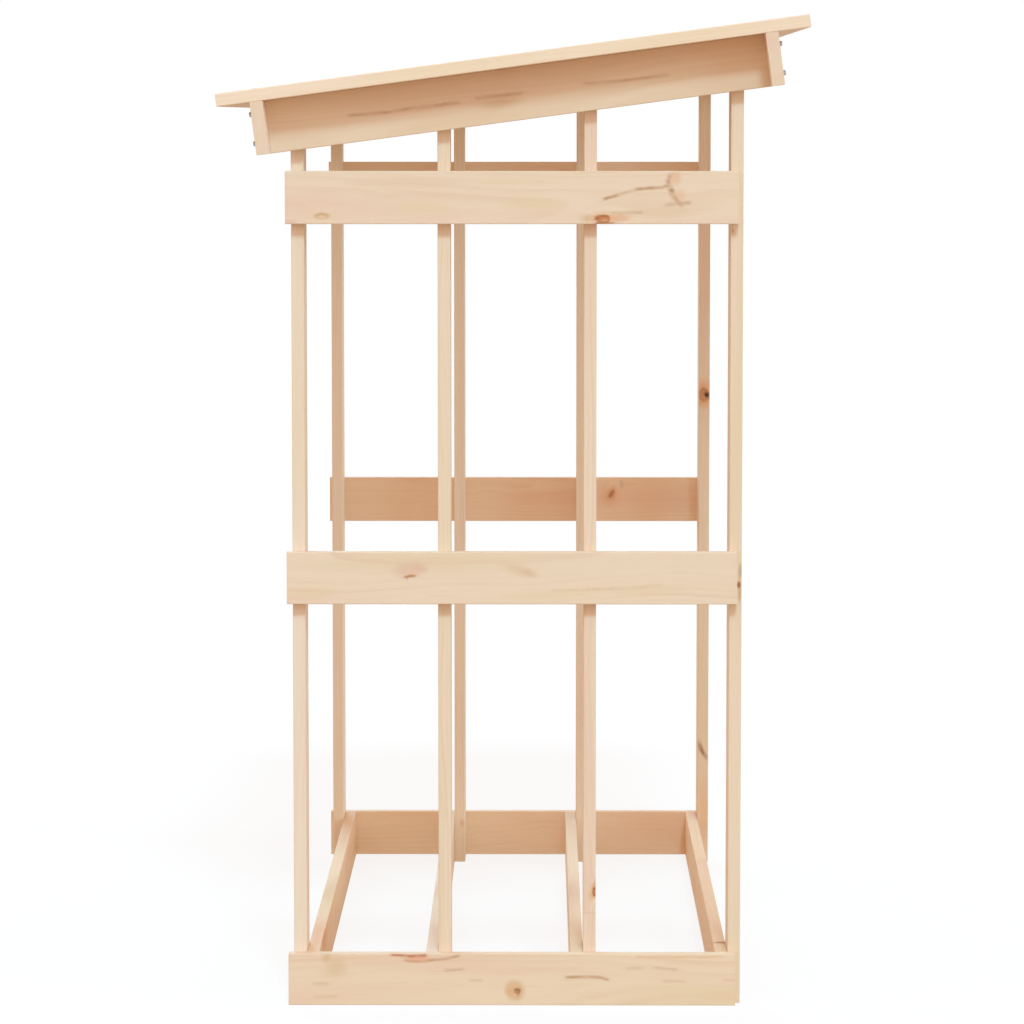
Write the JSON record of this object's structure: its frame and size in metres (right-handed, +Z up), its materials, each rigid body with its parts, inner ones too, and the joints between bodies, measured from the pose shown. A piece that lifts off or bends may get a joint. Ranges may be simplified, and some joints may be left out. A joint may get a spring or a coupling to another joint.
{
  "type": "log store",
  "caption": "Open timber log store: slatted end frames, floor battens on edge and a board roof pitched down to the back, open at front and back for stacking firewood.",
  "frame": {"origin": "centre of the whole store's footprint, on the ground", "axes": "+X across the depth to the tall open side, +Y along the length to the far end frame, +Z up"},
  "size_m": [0.6462, 1.08, 1.0958],
  "materials": {
    "post_timber": "planed bare softwood, eased arrises, pale straw with pinkish knots, matt",
    "side_board_timber": "planed bare softwood, eased arrises, pale straw with pinkish knots, matt",
    "batten_timber": "planed bare softwood, eased arrises, pale straw with pinkish knots, matt",
    "rafter_timber": "planed bare softwood, eased arrises, pale straw with pinkish knots, matt",
    "roof_timber": "planed bare softwood, eased arrises, pale straw with pinkish knots, matt"
  },
  "bodies": {
    "root": {"post_near_1": "post_timber", "post_near_2": "post_timber", "post_near_3": "post_timber", "post_near_4": "post_timber", "side_board_near_bottom": "side_board_timber", "side_board_near_middle": "side_board_timber", "side_board_near_top": "side_board_timber", "rafter_near": "rafter_timber", "post_far_1": "post_timber", "post_far_2": "post_timber", "post_far_3": "post_timber", "post_far_4": "post_timber", "side_board_far_bottom": "side_board_timber", "side_board_far_middle": "side_board_timber", "side_board_far_top": "side_board_timber", "rafter_far": "rafter_timber", "floor_batten_1": "batten_timber", "floor_batten_2": "batten_timber", "floor_batten_3": "batten_timber", "floor_batten_4": "batten_timber", "purlin_low": "rafter_timber", "purlin_high": "rafter_timber", "roof_board_01": "roof_timber", "roof_board_02": "roof_timber", "roof_board_03": "roof_timber", "roof_board_04": "roof_timber", "roof_board_05": "roof_timber", "roof_board_06": "roof_timber", "roof_board_07": "roof_timber", "roof_board_08": "roof_timber", "roof_board_09": "roof_timber", "roof_board_10": "roof_timber", "roof_board_11": "roof_timber", "roof_board_12": "roof_timber", "roof_board_13": "roof_timber", "roof_board_14": "roof_timber", "roof_board_15": "roof_timber", "roof_board_16": "roof_timber", "roof_board_17": "roof_timber", "roof_board_18": "roof_timber"}
  },
  "joints": []
}
